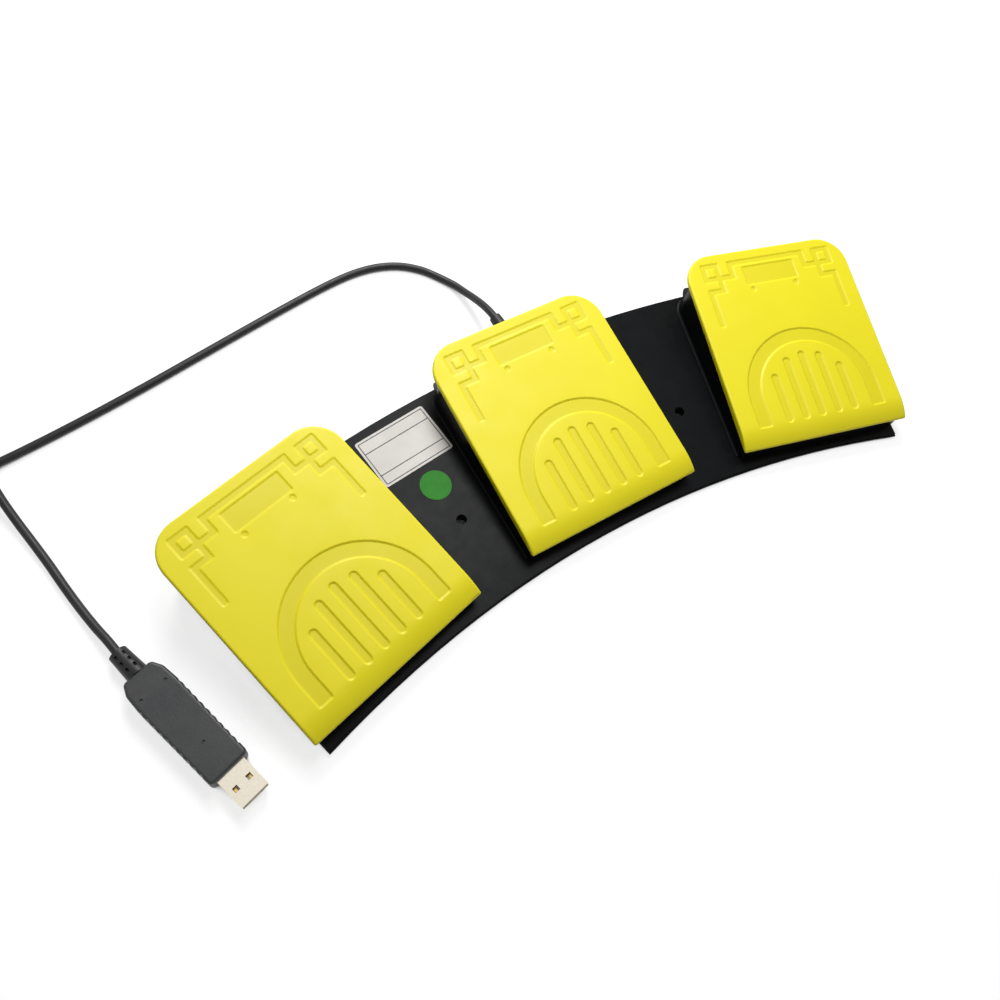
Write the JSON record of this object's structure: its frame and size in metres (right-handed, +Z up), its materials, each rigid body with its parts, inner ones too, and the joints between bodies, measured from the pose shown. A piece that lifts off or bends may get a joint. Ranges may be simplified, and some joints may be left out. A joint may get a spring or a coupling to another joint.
{
  "type": "usb foot pedal switch",
  "caption": "Foot-operated switch: sprung sloping pedals on low housings along an arc-shaped base, with a gland, a coiled cord and a flat USB plug.",
  "frame": {"origin": "on the floor under the middle of the base and pedals, measured without the cord", "axes": "+X to the user's right along the row of pedals, +Y away from the user towards the cord's exit, +Z up"},
  "size_m": [0.4437, 0.2229, 0.0302],
  "materials": {
    "casing_black": "satin black moulded plastic",
    "plate_black": "satin black moulded plastic",
    "pedal_yellow": "lemon yellow moulded plastic with a soft sheen",
    "foot_rubber": "matte black rubber",
    "steel": "plain steel",
    "switch_black": "black moulded plastic",
    "plunger_red": "red moulded plastic",
    "wire_red": "red wire insulation",
    "board_green": "green solder mask",
    "label_silver": "blank silver-white label film",
    "sticker_green": "green paper sticker",
    "cord_black": "satin black cord jacket",
    "tie_black": "black strap",
    "plug_charcoal": "dark charcoal overmoulding",
    "shell_nickel": "bright nickel plate",
    "tongue_white": "white moulded insulator",
    "contact_gold": "gold plate"
  },
  "bodies": {
    "base": {"base_shell": "casing_black", "bottom_plate": "plate_black", "base_screws": "steel", "rubber_feet": "foot_rubber", "hinge_pin_left": "steel", "hinge_pin_center": "steel", "hinge_pin_right": "steel", "switch_body_left": "switch_black", "switch_body_center": "switch_black", "switch_body_right": "switch_black", "return_spring_left": "steel", "return_spring_center": "steel", "return_spring_right": "steel", "switch_lead_left": "wire_red", "switch_lead_center": "wire_red", "switch_lead_right": "wire_red", "main_board": "board_green", "controller_chip": "switch_black", "board_screws": "steel", "label_sticker": "label_silver", "round_sticker": "sticker_green", "cable_gland": "cord_black", "cord_lead": "cord_black", "cord_coil": "cord_black", "cord_tail": "cord_black", "cable_tie": "tie_black", "plug_strain_relief": "cord_black", "plug_body": "plug_charcoal", "plug_shell": "shell_nickel", "plug_tongue": "tongue_white", "plug_contacts": "contact_gold", "plug_board": "board_green"},
    "left_pedal": {"pedal_left": "pedal_yellow"},
    "center_pedal": {"pedal_center": "pedal_yellow"},
    "right_pedal": {"pedal_right": "pedal_yellow"},
    "left_plunger": {"switch_plunger_left": "plunger_red"},
    "center_plunger": {"switch_plunger_center": "plunger_red"},
    "right_plunger": {"switch_plunger_right": "plunger_red"}
  },
  "joints": [
    {"name": "left_pedal_hinge", "type": "hinge", "parent": "base", "child": "left_pedal", "pos_m": [-0.13128, 0.03238, 0.019], "axis": [0.9682, 0.2503, 0], "range_deg": [0, 1.8], "stiffness_Nm_per_rad": 4.6, "springref_deg": -3.09, "deforming": ["return_spring_left"]},
    {"name": "center_pedal_hinge", "type": "hinge", "parent": "base", "child": "center_pedal", "pos_m": [0, 0.04908, 0.019], "axis": [1, 0, 0], "range_deg": [0, 1.8], "stiffness_Nm_per_rad": 4.6, "springref_deg": -3.09, "deforming": ["return_spring_center"]},
    {"name": "right_pedal_hinge", "type": "hinge", "parent": "base", "child": "right_pedal", "pos_m": [0.13128, 0.03238, 0.019], "axis": [0.9682, -0.2503, 0], "range_deg": [0, 1.8], "stiffness_Nm_per_rad": 4.6, "springref_deg": -3.09, "deforming": ["return_spring_right"]},
    {"name": "left_plunger_slide", "type": "slide", "parent": "base", "child": "left_plunger", "axis": [0, 0, -1], "range_m": [0, 0.0011]},
    {"name": "center_plunger_slide", "type": "slide", "parent": "base", "child": "center_plunger", "axis": [0, 0, -1], "range_m": [0, 0.0011]},
    {"name": "right_plunger_slide", "type": "slide", "parent": "base", "child": "right_plunger", "axis": [0, 0, -1], "range_m": [0, 0.0011]}
  ],
  "couplings": [
    {"joint": "left_plunger_slide", "follows": "left_pedal_hinge", "m_per_rad": 0.0325},
    {"joint": "center_plunger_slide", "follows": "center_pedal_hinge", "m_per_rad": 0.0325},
    {"joint": "right_plunger_slide", "follows": "right_pedal_hinge", "m_per_rad": 0.0325}
  ]
}
